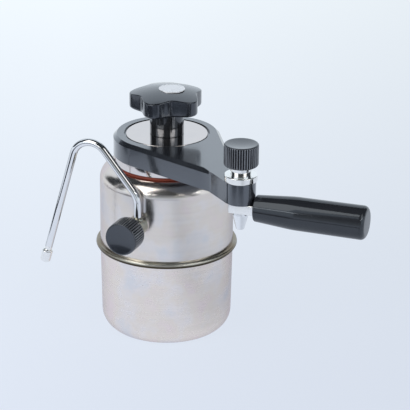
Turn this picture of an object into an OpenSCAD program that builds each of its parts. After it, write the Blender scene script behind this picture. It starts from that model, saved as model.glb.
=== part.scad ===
// Stovetop espresso maker: a steel boiler with a steam wand, a clamped lid with an arm,
// a coffee tap at the end of the arm and a side handle.
// The origin is the middle of the boiler's foot, +Z is up and +X runs along the handle.

/* [Boiler] */
// Outside diameter of the boiler at the seam
body_d = 112; // [104:1:122]
// Outside diameter of the lower shell just above its foot
foot_d = 109.8; // [104:0.2:116]
// Height of the boiler's flat top
body_h = 146; // [136:1:160]
// Height of the middle of the seam
seam_z = 76.7; // [60:0.1:88]
// How far the rolled seam stands out of the wall
seam_proud = 3.5; // [2:0.1:5]
// Height of the rolled seam
seam_h = 4.8; // [3:0.1:8]
// Wall of the two shells
shell_wall = 1.2; // [0.8:0.1:2]
// Thickness of the boiler's floor
floor_t = 2.5; // [1.5:0.1:5]
// Rounding of the foot
foot_round = 15.5; // [8:0.5:22]
// Rounding of the shoulder
shoulder_round = 12.5; // [6:0.5:13]
// Clear diameter of the filling mouth
mouth_d = 76; // [70:1:78]
// Wall of the mouth ring
mouth_wall = 3; // [2.6:0.1:4]
// Height of the mouth ring
mouth_h = 8; // [5:0.5:14]

/* [Stay rod] */
// Diameter of the threaded rod
rod_d = 8; // [6:0.5:10]
// How far the rod reaches into the knob's nut
rod_grip = 15; // [10:1:17]
// Diameter of the anchor on the boiler's floor
anchor_d = 20; // [16:1:30]
// Height of the anchor
anchor_h = 8; // [6:0.5:12]

/* [Basket] */
// Depth of the coffee basket below the mouth
basket_depth = 28; // [20:1:34]
// Height of the cone under the basket
basket_cone_h = 6; // [4:0.5:10]
// Wall of the basket and of its tube
basket_wall = 0.8; // [0.6:0.1:1.5]
// Outside diameter of the water tube
tube_d = 14.6; // [13:0.2:20]
// Room between the tube's end and the rod's anchor
tube_foot_gap = 3; // [2:0.5:10]
// Thickness of the filter plates
filter_t = 1; // [0.6:0.1:1.6]
// Diameter of the filter holes
filter_hole_d = 2; // [1:0.2:2.4]

/* [Lid] */
// Outside diameter of the gasket
gasket_d = 91.2; // [88:0.2:94]
// Thickness of the gasket
gasket_h = 2.2; // [1.6:0.1:3]
// Diameter of the lid's flange
lid_flange_d = 85; // [82:0.5:87]
// Height of the lid from the gasket to its polished top
lid_h = 24.6; // [21:0.2:30]
// Diameter of the lid's upright wall
lid_d = 68; // [64:0.2:70]
// Wall of the lid
lid_wall = 1.5; // [1:0.1:2]
// Rounding of the polished top's edge
lid_edge = 0.5; // [0.4:0.1:1.5]
// Diameter of the bush round the rod
bush_d = 16; // [14:0.5:22]

/* [Collar and arm] */
// Outside diameter of the collar
collar_d = 89; // [84:0.5:94]
// Height of the collar and the arm
collar_h = 17.5; // [15:0.5:19]
// How far the collar stands above the polished top
collar_rise = 0.2; // [0:0.1:3]
// Width of the dark gap round the polished top
ring_gap = 1.6; // [1:0.1:3]
// Bevel of the upper edges
collar_bevel = 3; // [1:0.1:4]
// Direction of the arm, turned from the handle
arm_angle = -42.3; // [-70:0.1:-25]
// Distance of the tap from the boiler's middle
arm_reach = 125; // [112:1:140]
// Width of the arm's straight part
arm_w = 24.6; // [22:0.2:30]
// Distance from the boiler's middle at which the arm stops tapering
arm_taper_end = 93; // [80:1:100]
// Diameter of the boss at the arm's end
boss_d = 24; // [20:0.2:26]
// Diameter of the coffee duct
duct_d = 8; // [6:0.2:9]
// Wall of the coffee duct
duct_wall = 1.2; // [0.8:0.1:1.6]

/* [Coffee tap] */
// Distance from the tap's middle to the back of its block under the boss
block_back = 7.8; // [7:0.2:10]
// Height of the tap's block
block_h = 8.2; // [6:0.2:12]
// Diameter of the tap's post inside the boss
post_d = 16; // [15:0.5:17]
// Width of the tap's block, which carries the handle
block_w = 16; // [12:0.5:20]
// Diameter of the gland's flange
gland_flange_d = 26.4; // [25:0.2:30]
// Thickness of the gland's flange
gland_flange_h = 5.4; // [3:0.2:7]
// Diameter of the gland's neck
gland_neck_d = 17.4; // [14:0.2:20]
// Height of the gland's neck
gland_neck_h = 6.6; // [4:0.2:9]
// Diameter of the spout at the block
spout_d = 12.8; // [12:0.2:16]
// Diameter of the spout at its tip
spout_tip_d = 6.4; // [5.2:0.2:8]
// Length of the spout
spout_l = 15; // [12:0.5:30]
// Length of the spout above its taper
spout_straight_l = 3; // [1:0.5:6]
// Bore of the spout
spout_bore_d = 3.6; // [2:0.2:4]

/* [Handle] */
// Distance from the tap's middle to the grip
grip_start = 12.8; // [12.2:0.2:20]
// Length of the grip
grip_l = 90; // [80:1:130]
// Diameter of the grip at the tap
grip_neck_d = 21.2; // [18:0.2:24]
// Diameter of the grip at its thick end
grip_d = 27; // [24:0.2:32]
// Length over which the grip widens
grip_flare_l = 31; // [20:1:50]
// Rounding of the grip's end
grip_round = 4; // [1:0.2:8]
// Diameter of the rod inside the grip
handle_rod_d = 6; // [4:0.5:6.5]
// Depth to which the rod enters the grip
handle_rod_l = 66; // [40:1:74]

/* [Valve knobs] */
// Diameter of a valve knob
knob_d = 27.4; // [24:0.2:32]
// Length of a valve knob
knob_l = 18; // [14:0.5:24]
// Number of flutes round a valve knob
knurl_count = 42; // [24:2:60]
// Depth of the flutes
knurl_depth = 0.7; // [0.3:0.1:1]
// Depth of the dished end face
knob_dish = 0.9; // [0.3:0.1:2]
// Diameter of the valve stems
stem_d = 6; // [5:0.2:6.6]

/* [Steam valve] */
// Direction of the steam valve, turned from the handle
steam_angle = -93.5; // [-120:0.5:-85]
// Height of the steam valve's axis
steam_z = 111.5; // [104:0.5:118]
// Diameter of the saddle washer under the valve
pad_d = 17; // [16.5:0.5:38]
// How far the washer's flat face stands out of the wall
pad_proud = 1.2; // [0.6:0.1:2.5]
// Diameter of the valve's flange
steam_flange_d = 16.8; // [16.4:0.2:24]
// Thickness of the valve's flange
steam_flange_h = 2.6; // [1.5:0.1:3]
// Diameter of the valve's barrel
barrel_d = 16.4; // [15:0.2:18]
// Length of the valve's barrel
barrel_l = 11.4; // [10:0.2:16]
// Height of the hexagon of the steam gland
steam_hex_h = 3; // [2:0.2:5]

/* [Steam wand] */
// Outside diameter of the wand
wand_d = 6; // [5:0.2:7]
// Bore of the wand
wand_bore_d = 3.6; // [2.4:0.2:3.8]
// Distance of the wand from the washer's face
wand_stand = 4.8; // [4.4:0.1:6]
// How far the wand's foot sits beside the valve's axis
wand_shift = 1.4; // [0:0.1:2]
// Height of the first bend above the valve's axis
wand_bend_rise = 25.5; // [22:0.5:32]
// Height above the valve's axis at which the two long legs would meet
wand_peak_rise = 84.8; // [80:0.2:100]
// Sideways distance of that meeting point
wand_peak_reach = 47.6; // [40:0.2:52]
// Sideways distance of the wand's tip
wand_tip_reach = 84; // [74:0.5:96]
// Depth of the wand's tip below the valve's axis
wand_tip_drop = 44.6; // [30:0.2:60]
// Radius of the first bend
wand_low_bend = 20; // [12:1:24]
// Radius of the bend at the top
wand_top_bend = 16; // [12:0.5:20]
// Diameter of the wand's tip
tip_d = 9; // [8:0.2:12]
// Length of the wand's tip
tip_l = 11.6; // [9:0.2:16]
// Diameter of the jet in the wand's tip
jet_d = 2.4; // [1.2:0.2:3]

/* [Safety valve] */
// Direction of the safety valve, turned from the handle
safety_angle = 104; // [90:1:150]
// Height of the safety valve's axis
safety_z = 111.5; // [100:0.5:120]
// Width across the corners of its hexagon
safety_hex_d = 18; // [16:0.5:22]
// Thickness of its hexagon
safety_hex_h = 5; // [3:0.5:8]
// Diameter of its barrel
safety_barrel_d = 12; // [11:0.5:14]
// Length of its barrel
safety_barrel_l = 9; // [7:0.5:14]
// Diameter of its cap
safety_cap_d = 13.4; // [12.6:0.2:18]
// Thickness of its cap
safety_cap_h = 4; // [3:0.2:6]

/* [Star knob] */
// Diameter across the lobes
star_d = 62.6; // [54:0.2:70]
// Diameter across the hollows between the lobes
star_hollow_d = 49; // [38:0.2:53]
// Number of lobes
star_lobes = 5; // [4:1:8]
// Height of the star above the neck
star_h = 17.2; // [14:0.2:22]
// How much lower the domed top is at the lobes
star_drop = 5; // [2:0.2:7]
// Direction of one lobe, turned from the handle
star_turn = 48; // [0:1:72]
// Diameter of the neck
neck_d = 28.4; // [26:0.2:34]
// Height of the neck
neck_h = 21.4; // [20:0.2:26]
// Diameter of the pale disc on top
disc_d = 21.8; // [14:0.2:26]
// How far the disc sits from the knob's middle
disc_shift = 4; // [0:0.1:5]
// Direction of that shift, turned from the handle
disc_turn = 19; // [0:1:90]

/* [Hidden] */
$fn = 96;

// Clearances
fit_gap = 0.05;
slip_gap = 0.3;
rod_gap = 0.4;
over = 1;
edge_bevel = 0.8;

// Boiler: a drawn cup is never narrower at its seam than at its foot
body_r = max(body_d, foot_d) / 2;
foot_r = foot_d / 2;
mouth_r = mouth_d / 2;
ring_r = mouth_r + mouth_wall;
inner_r = body_r - shell_wall;
rod_r = rod_d / 2;
rod_foot = 2;

// Basket
rim_ledge = 1.6;
rim_t = 1;
rim_r = mouth_r + rim_ledge - slip_gap;
basket_r = mouth_r - 2 * slip_gap;
basket_in_r = basket_r - basket_wall;
filter_ledge = 2;
basket_floor_z = body_h - basket_depth;
tube_r = tube_d / 2;
tube_foot_z = floor_t + anchor_h + tube_foot_gap;

// Lid
cap_z = body_h + gasket_h;
plate_z = cap_z + lid_h;
lid_r = lid_d / 2;
flange_r = lid_flange_d / 2;
lid_lip = 2;
filter_overlap = 2.2;
gasket_in_r = lid_r + filter_overlap;
bush_r = bush_d / 2;
clip_t = 1;
clip_depth = 2.6;
clip_bite = 0.6;
clip_z = plate_z - clip_depth;

// Collar and arm
collar_top = plate_z + collar_rise;
collar_z = collar_top - collar_h;
collar_r = collar_d / 2;
collar_hole_r = lid_r + ring_gap;
arm_r = arm_w / 2;
arm_lean = asin((collar_r - arm_r) / arm_taper_end);
collar_tuck = 0.4;
duct_drop = 1;
duct_z = collar_z + collar_h / 2 - duct_drop;
duct_r = duct_d / 2;

// Coffee tap
block_z = collar_z - block_h;
handle_z = collar_z - block_h / 2;
post_r = post_d / 2;
stem_r = stem_d / 2;
chamber_room = 1.5;
chamber_r = stem_r + chamber_room;
orifice_r = 1.6;
seat_land = 0.4;
seat_t = 1;
needle_h = 2;
duct_socket = 2;
seat_z = duct_z - duct_r - seat_t;
packing_wall = 2.2;
packing_r = stem_r + packing_wall;
packing_h = 4;
shank_wall = 1.2;
shank_r = packing_r + shank_wall;
shank_h = 5;
gland_top = collar_top + gland_flange_h + gland_neck_h;
knob_gap = 0.6;
knob_z = gland_top + knob_gap;
knob_r = knob_d / 2;
knob_head = 5;
knob_bore_l = knob_l - knob_head;
knob_rim = 1.2;
knurl_land = 0.2;
spout_shank_r = 4.6;
spout_shank_l = 3;

// Steam valve, measured outwards from the boiler's axis
pad_t = body_r + pad_proud;
steam_shank_r = 6;
lock_nut_r = 9;
lock_nut_h = 4;
lock_nut_gap = 0.1;
lock_nut_top = sqrt(pow(inner_r, 2) - pow(lock_nut_r, 2)) - lock_nut_gap;
barrel_end = pad_t + steam_flange_h + barrel_l;
steam_seat = pad_t + seat_t;
steam_packing_h = 2.4;
steam_shank_h = 5;
steam_knob_t = barrel_end + steam_hex_h + knob_gap;
wand_t = pad_t + wand_stand;
wand_r = wand_d / 2;
socket_wall = 0.8;
socket_proud = 0.4;
socket_rise = barrel_d / 2 + socket_proud;
tip_socket = 5.5;

// Corners of the wand: sideways from the valve and upwards from its axis
wand_seat = chamber_r + seat_t;
wand_foot = [-wand_shift, wand_seat];
wand_turn = [-wand_shift, wand_bend_rise];
wand_peak = [wand_peak_reach, wand_peak_rise];
wand_end = [wand_tip_reach, -wand_tip_drop];
wand_run = toward(wand_peak, wand_end);
wand_fall = atan2(wand_run[1], wand_run[0]);
wand_sides = 20;
wand_low_steps = 5;
wand_top_steps = 14;

// Safety valve, measured outwards from the boiler's axis
pad_margin = 1.5;
safety_pad_r = safety_hex_d / 2 + pad_margin;
safety_shank_r = 5;
safety_shank_in = 2;
safety_seat = pad_t + seat_t;
safety_end = pad_t + safety_hex_h + safety_barrel_l;
poppet_r = 3.6;
poppet_h = 2;
poppet_stem_r = 1.4;
spring_in_r = 1.8;
spring_r = 3.3;

// Star knob
washer_t = 1.5;
washer_r = 12;
neck_gap = 0.2;
neck_z = plate_z + neck_gap;
star_z = plate_z + neck_h;
star_top = star_z + star_h;
star_tip_r = star_d / 2;
star_hollow_r = star_hollow_d / 2;
dome_r = (pow(star_tip_r, 2) + pow(star_drop, 2)) / (2 * star_drop);
nut_r = 7;
nut_h = 18;
nut_inset = 1.5;
nut_z = neck_z + nut_inset;
disc_t = 0.8;
disc_sink = 0.6;

steel = "#c8c4bf";
polished = "#e3e3e2";
black = "#202124";
brass = "#c2a25a";
red = "#9a4a38";

// Shared placements

// Stands a shape on the wall, with its +Z pointing straight out of the boiler
module on_wall(angle, height) {
    rotate([0, 0, angle])
        translate([0, 0, height])
            rotate([0, 90, 0])
                children();
}

// Stands a shape on the tap's upright axis, with +X along the handle
module at_tap() {
    rotate([0, 0, arm_angle])
        translate([arm_reach, 0, 0])
            rotate([0, 0, -arm_angle])
                children();
}

// Runs a shape's +Z along the arm, from the boiler's axis at the duct's height
module along_arm() {
    rotate([0, 0, arm_angle])
        translate([0, 0, duct_z])
            rotate([0, 90, 0])
                children();
}

// Runs a shape's +Z along the handle, from the tap's axis
module along_handle() {
    at_tap()
        translate([0, 0, handle_z])
            rotate([0, 90, 0])
                children();
}

// Shared shapes

module tube(r, bore, z0, z1) {
    difference() {
        translate([0, 0, z0]) cylinder(r = r, h = z1 - z0);
        translate([0, 0, z0 - over]) cylinder(r = bore, h = z1 - z0 + 2 * over);
    }
}

module plug(r, z0, z1) {
    translate([0, 0, z0]) cylinder(r = r, h = z1 - z0);
}

// Half section of the lower shell, drawn in by the given wall
module lower_section(inset) {
    polygon([
        [0, inset],
        [foot_r - foot_round, inset],
        [foot_r - foot_round, foot_round],
        [foot_r - inset, foot_round],
        [body_r - inset, seam_z],
        [0, seam_z]
    ]);
    translate([foot_r - foot_round, foot_round]) circle(foot_round - inset);
}

// Half section of the upper shell, drawn in by the given wall
module upper_section(inset) {
    polygon([
        [0, seam_z],
        [body_r - inset, seam_z],
        [body_r - inset, body_h - shoulder_round],
        [body_r - shoulder_round, body_h - shoulder_round],
        [body_r - shoulder_round, body_h - inset],
        [0, body_h - inset]
    ]);
    translate([body_r - shoulder_round, body_h - shoulder_round]) circle(shoulder_round - inset);
}

// Saddle washer: a flat face on the round wall, pierced for a valve
module wall_pad(angle, height, r, bore) {
    difference() {
        on_wall(angle, height) difference() {
            plug(r, body_r / 2, pad_t - pad_proud / 2);
            plug(bore, 0, pad_t + over);
        }
        cylinder(r = body_r, h = body_h, $fn = 360);
    }
    on_wall(angle, height) difference() {
        translate([0, 0, pad_t - pad_proud / 2])
            cylinder(r1 = r, r2 = r - pad_proud / 2, h = pad_proud / 2);
        plug(bore, 0, pad_t + over);
    }
}

// Filter plate with rings of holes round the rod
module filter_plate(r, z) {
    rings = 3;
    first_ring_holes = 8;
    difference() {
        tube(r, rod_r + rod_gap, z, z + filter_t);
        for (k = [1 : rings])
            for (i = [1 : k * first_ring_holes])
                rotate([0, 0, i * 360 / (k * first_ring_holes)])
                    translate([rod_r + k * (r - rod_r) / (rings + 1), 0, 0])
                        plug(filter_hole_d / 2, z - over, z + filter_t + over, $fn = 16);
    }
}

// Valve knob standing on z0: straight flutes, bevelled edges and a dished end
module valve_knob(z0) {
    top = z0 + knob_l;
    dish_w = knob_r - knob_rim;
    dish_r = (pow(dish_w, 2) + pow(knob_dish, 2)) / (2 * knob_dish);
    flutes = [for (i = [0 : 2 * knurl_count - 1])
        let (r = i % 2 == 0 ? knob_r + knurl_land : knob_r - knurl_depth, a = i * 180 / knurl_count)
        [r * cos(a), r * sin(a)]];
    difference() {
        intersection() {
            translate([0, 0, z0 - over]) linear_extrude(knob_l + 2 * over) polygon(flutes);
            rotate_extrude()
                polygon([
                    [0, z0],
                    [knob_r - edge_bevel, z0],
                    [knob_r, z0 + edge_bevel],
                    [knob_r, top - edge_bevel],
                    [knob_r - edge_bevel, top],
                    [0, top]
                ]);
        }
        plug(stem_r + fit_gap, z0 - over, z0 + knob_bore_l);
        translate([0, 0, top - knob_dish + dish_r]) rotate([90, 0, 0]) sphere(r = dish_r);
    }
}

// Spindle with a flat-ended needle, from its seat up into its knob
module valve_stem(seat, top) {
    foot = seat + fit_gap;
    translate([0, 0, foot]) cylinder(r1 = orifice_r + seat_land, r2 = stem_r, h = needle_h);
    plug(stem_r, foot + needle_h, top);
}

// Unit direction from point a to point b
function toward(a, b) = (b - a) / norm(b - a);

// Points and headings along the bend of radius r that rounds corner b between a and c
function bend_stations(a, b, c, r, steps) =
    let (u = toward(a, b),
         w = toward(b, c),
         turn = acos(u * w),
         side = sign(cross(u, w)),
         start = b - u * r * tan(turn / 2),
         heading = atan2(u[1], u[0]),
         middle = start + side * r * [-u[1], u[0]])
    [for (i = [0 : steps])
        let (h = heading + side * turn * i / steps)
        [middle + side * r * [sin(h), -cos(h)], h]];

// Ring of points round one station of a swept tube
function station_ring(station, r, sides) =
    [for (k = [0 : sides - 1])
        let (a = 360 * k / sides, p = station[0], h = station[1])
        [p[0] - r * cos(a) * sin(h), p[1] + r * cos(a) * cos(h), r * sin(a)]];

// Two triangles between points k and k + 1 of two rings that start at i and j
function ring_faces(i, j, sides) =
    [for (k = [0 : sides - 1])
        let (n = (k + 1) % sides)
        each [[i + k, j + k, i + n], [i + n, j + k, j + n]]];

// Tube with a bore, swept through stations in the XY plane
module swept_tube(stations, d, bore, sides) {
    count = len(stations);
    inner = count * sides;
    last = (count - 1) * sides;
    points = [
        for (s = stations) each station_ring(s, d / 2, sides),
        for (s = stations) each station_ring(s, bore / 2, sides)
    ];
    faces = [
        for (i = [0 : count - 2]) each ring_faces(i * sides, (i + 1) * sides, sides),
        for (i = [0 : count - 2]) each ring_faces(inner + (i + 1) * sides, inner + i * sides, sides),
        each ring_faces(inner, 0, sides),
        each ring_faces(last, inner + last, sides)
    ];
    polyhedron(points, faces);
}

// Boiler

module lower_shell() {
    color(steel)
        rotate_extrude()
            difference() {
                lower_section(0);
                intersection() {
                    union() {
                        lower_section(shell_wall);
                        translate([0, seam_z - over]) square([body_r - shell_wall, 2 * over]);
                    }
                    translate([0, floor_t]) square([body_d, body_h]);
                }
            }
}

module upper_shell() {
    color(steel)
        difference() {
            rotate_extrude()
                difference() {
                    upper_section(0);
                    upper_section(shell_wall);
                    translate([0, seam_z - over]) square([inner_r, 2 * over]);
                    square([ring_r, body_h + over]);
                }
            on_wall(steam_angle, steam_z) plug(steam_shank_r + fit_gap, body_r / 2, body_d);
            on_wall(safety_angle, safety_z) plug(safety_shank_r + fit_gap, body_r / 2, body_d);
        }
}

module seam_ring() {
    bead_r = seam_h / 2;
    color("#b7a98f")
        rotate_extrude()
            intersection() {
                union() {
                    translate([body_r + seam_proud - bead_r, seam_z]) circle(bead_r);
                    translate([body_r - over, seam_z - bead_r])
                        square([seam_proud + over - bead_r, seam_h]);
                }
                translate([body_r, seam_z - seam_h]) square([2 * seam_proud, 2 * seam_h]);
            }
}

module mouth_ring() {
    color(steel)
        difference() {
            tube(ring_r, mouth_r, body_h - mouth_h, body_h);
            plug(mouth_r + rim_ledge, body_h - rim_t, body_h + over);
        }
}

module rod_anchor() {
    color(steel)
        difference() {
            plug(anchor_d / 2, floor_t, floor_t + anchor_h);
            plug(rod_r + fit_gap, floor_t + rod_foot, floor_t + anchor_h + over);
        }
}

module stay_rod() {
    color(steel) plug(rod_r, floor_t + rod_foot, nut_z + rod_grip);
}

// Steam valve and wand

module steam_pad() {
    color(steel) wall_pad(steam_angle, steam_z, pad_d / 2, steam_shank_r + fit_gap);
}

// Turns a shape's +Z up along the wand's socket
module at_socket() {
    translate([0, wand_shift, wand_t]) rotate([0, -90, 0]) children();
}

module steam_valve_body() {
    color("#d5c89a")
        on_wall(steam_angle, steam_z)
            difference() {
                union() {
                    plug(steam_shank_r, lock_nut_top - lock_nut_h, pad_t);
                    plug(steam_flange_d / 2, pad_t, pad_t + steam_flange_h);
                    plug(barrel_d / 2, pad_t, barrel_end);
                    at_socket() plug(wand_r + socket_wall, 0, socket_rise);
                }
                plug(orifice_r, 0, pad_t + over);
                plug(chamber_r, steam_seat, barrel_end);
                plug(shank_r + fit_gap, barrel_end - steam_shank_h, barrel_end + over);
                at_socket() {
                    plug(wand_bore_d / 2, 0, socket_rise);
                    plug(wand_r + fit_gap, wand_seat, socket_rise + over);
                }
            }
}

module steam_lock_nut() {
    color(brass)
        on_wall(steam_angle, steam_z)
            difference() {
                translate([0, 0, lock_nut_top - lock_nut_h])
                    cylinder(r = lock_nut_r, h = lock_nut_h, $fn = 6);
                plug(steam_shank_r + fit_gap, 0, body_d);
            }
}

module steam_gland_nut() {
    color("#d5c89a")
        on_wall(steam_angle, steam_z)
            difference() {
                union() {
                    plug(shank_r, barrel_end - steam_shank_h, barrel_end);
                    translate([0, 0, barrel_end])
                        cylinder(r = barrel_d / 2, h = steam_hex_h, $fn = 6);
                }
                plug(packing_r + slip_gap, 0, barrel_end - steam_shank_h + steam_packing_h);
                plug(stem_r + slip_gap, 0, body_d);
            }
}

module steam_packing() {
    color("#e8e4d8")
        on_wall(steam_angle, steam_z)
            tube(packing_r, stem_r + fit_gap, barrel_end - steam_shank_h,
                 barrel_end - steam_shank_h + steam_packing_h);
}

module steam_stem() {
    color(brass)
        on_wall(steam_angle, steam_z) valve_stem(steam_seat, steam_knob_t + knob_bore_l);
}

module steam_knob() {
    color(black)
        on_wall(steam_angle, steam_z) valve_knob(steam_knob_t);
}

// Stands the wand's flat drawing in its upright plane in front of the pad
module in_wand_plane() {
    rotate([0, 0, steam_angle])
        translate([wand_t, 0, steam_z])
            rotate([0, 0, -90])
                rotate([90, 0, 0])
                    children();
}

module steam_wand() {
    tube_end = wand_end - wand_run * (tip_l - tip_socket);
    stations = [
        [wand_foot, 90],
        each bend_stations(wand_foot, wand_turn, wand_peak, wand_low_bend, wand_low_steps),
        each bend_stations(wand_turn, wand_peak, wand_end, wand_top_bend, wand_top_steps),
        [tube_end, wand_fall]
    ];
    color(polished) in_wand_plane() swept_tube(stations, wand_d, wand_bore_d, wand_sides);
}

module wand_tip() {
    tip_start = wand_end - wand_run * tip_l;
    color(polished)
        in_wand_plane()
            translate([tip_start[0], tip_start[1], 0])
                rotate([0, 0, wand_fall])
                    rotate([0, 90, 0])
                        difference() {
                            union() {
                                cylinder(d1 = tip_d - 2 * edge_bevel, d2 = tip_d, h = edge_bevel);
                                plug(tip_d / 2, edge_bevel, tip_l - edge_bevel);
                                translate([0, 0, tip_l - edge_bevel])
                                    cylinder(d1 = tip_d, d2 = tip_d - 2 * edge_bevel, h = edge_bevel);
                            }
                            plug(wand_r + fit_gap, -over, tip_socket);
                            plug(jet_d / 2, 0, tip_l + over);
                        }
}

// Safety valve

module safety_pad() {
    color(steel) wall_pad(safety_angle, safety_z, safety_pad_r, safety_shank_r + fit_gap);
}

module safety_valve_body() {
    color(brass)
        on_wall(safety_angle, safety_z)
            difference() {
                union() {
                    plug(safety_shank_r, inner_r - safety_shank_in, pad_t);
                    translate([0, 0, pad_t])
                        cylinder(d = safety_hex_d, h = safety_hex_h, $fn = 6);
                    plug(safety_barrel_d / 2, pad_t, safety_end);
                }
                plug(orifice_r, 0, pad_t + over);
                plug(poppet_r + slip_gap, safety_seat, safety_end + over);
            }
}

module safety_cap() {
    vent_r = 0.8;
    vent_at = (poppet_stem_r + poppet_r + vent_r) / 2;
    color(brass)
        on_wall(safety_angle, safety_z)
            difference() {
                plug(safety_cap_d / 2, safety_end, safety_end + safety_cap_h);
                plug(poppet_stem_r + slip_gap, safety_end - over, safety_end + safety_cap_h + over);
                for (a = [0 : 90 : 270])
                    rotate([0, 0, a])
                        translate([vent_at, 0, 0])
                            plug(vent_r, safety_end - over, safety_end + safety_cap_h + over, $fn = 24);
            }
}

module safety_poppet() {
    pull_h = 2;
    color(brass)
        on_wall(safety_angle, safety_z) {
            plug(poppet_r, safety_seat, safety_seat + poppet_h);
            plug(poppet_stem_r, safety_seat, safety_end + safety_cap_h + pull_h);
        }
}

module safety_spring() {
    color(steel)
        on_wall(safety_angle, safety_z)
            tube(spring_r, spring_in_r, safety_seat + poppet_h, safety_end);
}

// Basket

module coffee_funnel() {
    tube_in_r = tube_r - basket_wall;
    ledge_r = basket_in_r - filter_ledge;
    cone_z = basket_floor_z - basket_cone_h;
    color(steel)
        rotate_extrude()
            polygon([
                [rim_r, body_h],
                [rim_r, body_h - rim_t],
                [basket_r, body_h - rim_t],
                [basket_r, basket_floor_z - basket_wall],
                [tube_r, cone_z - basket_wall],
                [tube_r, tube_foot_z],
                [tube_in_r, tube_foot_z],
                [tube_in_r, cone_z],
                [ledge_r, basket_floor_z],
                [basket_in_r, basket_floor_z],
                [basket_in_r, body_h]
            ]);
}

module lower_filter() {
    color(steel) filter_plate(basket_in_r - slip_gap, basket_floor_z);
}

// Lid

module lid_cap() {
    bore_r = lid_r - lid_wall;
    color(polished)
        difference() {
            rotate_extrude()
                difference() {
                    union() {
                        translate([0, cap_z]) square([flange_r, lid_wall]);
                        polygon([
                            [0, cap_z],
                            [flange_r - lid_lip, cap_z + lid_wall],
                            [lid_r, collar_z],
                            [lid_r, plate_z - lid_edge],
                            [lid_r - lid_edge, plate_z - lid_edge],
                            [lid_r - lid_edge, plate_z],
                            [0, plate_z]
                        ]);
                        translate([lid_r - lid_edge, plate_z - lid_edge]) circle(lid_edge);
                    }
                    translate([0, cap_z - over]) square([bore_r, lid_h - lid_wall + over]);
                    square([bush_r + fit_gap, plate_z + over]);
                    translate([lid_r - clip_bite, clip_z]) square([2 * clip_bite, clip_t]);
                }
            along_arm() plug(duct_r + fit_gap, bore_r - 2 * over, collar_r);
        }
}

module lid_gasket() {
    lip_r = gasket_h / 2;
    color(red)
        rotate_extrude() {
            translate([gasket_in_r, body_h]) square([gasket_d / 2 - lip_r - gasket_in_r, gasket_h]);
            translate([gasket_d / 2 - lip_r, body_h + lip_r]) circle(lip_r);
        }
}

module upper_filter() {
    color(steel) filter_plate(gasket_in_r - slip_gap, cap_z - filter_t);
}

module lid_bush() {
    color(steel) tube(bush_r, rod_r + rod_gap, cap_z, plate_z);
}

// Corners of the arm's tapering stretch, drawn in by an inset: it starts just inside the collar's
// round and ends where its sides meet those of the straight stretch
function taper_corners(inset) =
    let (start = (collar_r - collar_tuck - inset) * [sin(arm_lean), cos(arm_lean)],
         end = [arm_taper_end + (arm_r - inset) * tan(arm_lean / 2), arm_r - inset])
    [start, end, [end[0], -end[1]], [start[0], -start[1]]];

// Bevelled top of the tapering stretch, between its two flat outlines
module taper_bevel() {
    points = [
        for (p = taper_corners(0)) [p[0], p[1], 0],
        for (p = taper_corners(collar_bevel)) [p[0], p[1], collar_bevel]
    ];
    faces = [
        [3, 2, 1, 0],
        [4, 5, 6, 7],
        for (k = [0 : 3]) [k, (k + 1) % 4, 4 + (k + 1) % 4, 4 + k]
    ];
    polyhedron(points, faces);
}

// Straight stretch of the arm, square edged, from inside the collar to the tap
module straight_stretch() {
    translate([collar_r, -arm_r, collar_z]) cube([arm_reach - collar_r, arm_w, collar_h]);
}

module collar_arm() {
    color(black)
        difference() {
            rotate([0, 0, arm_angle]) {
                translate([0, 0, collar_z])
                    linear_extrude(collar_h - collar_bevel) {
                        circle(collar_r);
                        polygon(taper_corners(0));
                    }
                translate([0, 0, collar_top - collar_bevel]) {
                    cylinder(r1 = collar_r, r2 = collar_r - collar_bevel, h = collar_bevel);
                    taper_bevel();
                }
                straight_stretch();
                translate([arm_reach, 0, collar_z]) cylinder(d = boss_d, h = collar_h);
            }
            plug(lid_r + slip_gap, collar_z - over, collar_top + over);
            plug(collar_hole_r, clip_z, collar_top + over);
            at_tap() plug(post_r + slip_gap, collar_z - over, collar_top + over);
            along_arm() plug(duct_r + slip_gap, lid_r - over, arm_reach);
        }
}

module collar_clip() {
    color("#2b2b2d") tube(collar_hole_r - slip_gap / 2, lid_r - clip_bite, clip_z, clip_z + clip_t);
}

// Coffee tap

module coffee_duct() {
    color(steel)
        along_arm()
            tube(duct_r, duct_r - duct_wall, lid_r - lid_wall - over, arm_reach - post_r + duct_socket);
}

module coffee_valve_body() {
    color(polished)
        difference() {
            at_tap()
                difference() {
                    union() {
                        plug(post_r, collar_z, collar_top);
                        translate([-block_back, -block_w / 2, block_z])
                            cube([block_back + grip_start, block_w, block_h]);
                    }
                    plug(orifice_r, block_z - over, collar_top);
                    plug(spout_shank_r + fit_gap, block_z - over, block_z + spout_shank_l);
                    plug(chamber_r, seat_z, collar_top);
                    plug(shank_r + fit_gap, collar_top - shank_h, collar_top + over);
                }
            along_handle() plug(handle_rod_d / 2 + fit_gap, chamber_r + over, grip_start + over);
            along_arm() {
                plug(duct_r - duct_wall, arm_reach - post_r - over, arm_reach);
                plug(duct_r + fit_gap, arm_reach - post_r - over, arm_reach - post_r + duct_socket);
            }
        }
}

module coffee_gland_nut() {
    flange_edge = gland_flange_d / 2;
    taper = 0.5;
    color(polished)
        at_tap()
            difference() {
                union() {
                    plug(shank_r, collar_top - shank_h, collar_top);
                    translate([0, 0, collar_top])
                        cylinder(r1 = flange_edge - taper, r2 = flange_edge, h = gland_flange_h);
                    plug(gland_neck_d / 2, collar_top, gland_top);
                }
                plug(packing_r + slip_gap, 0, collar_top - shank_h + packing_h);
                plug(stem_r + slip_gap, 0, gland_top + over);
            }
}

module coffee_packing() {
    color("#e8e4d8")
        at_tap()
            tube(packing_r, stem_r + fit_gap, collar_top - shank_h, collar_top - shank_h + packing_h);
}

module coffee_stem() {
    color(brass)
        at_tap() valve_stem(seat_z, knob_z + knob_bore_l);
}

module coffee_knob() {
    color(black)
        at_tap() valve_knob(knob_z);
}

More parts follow.
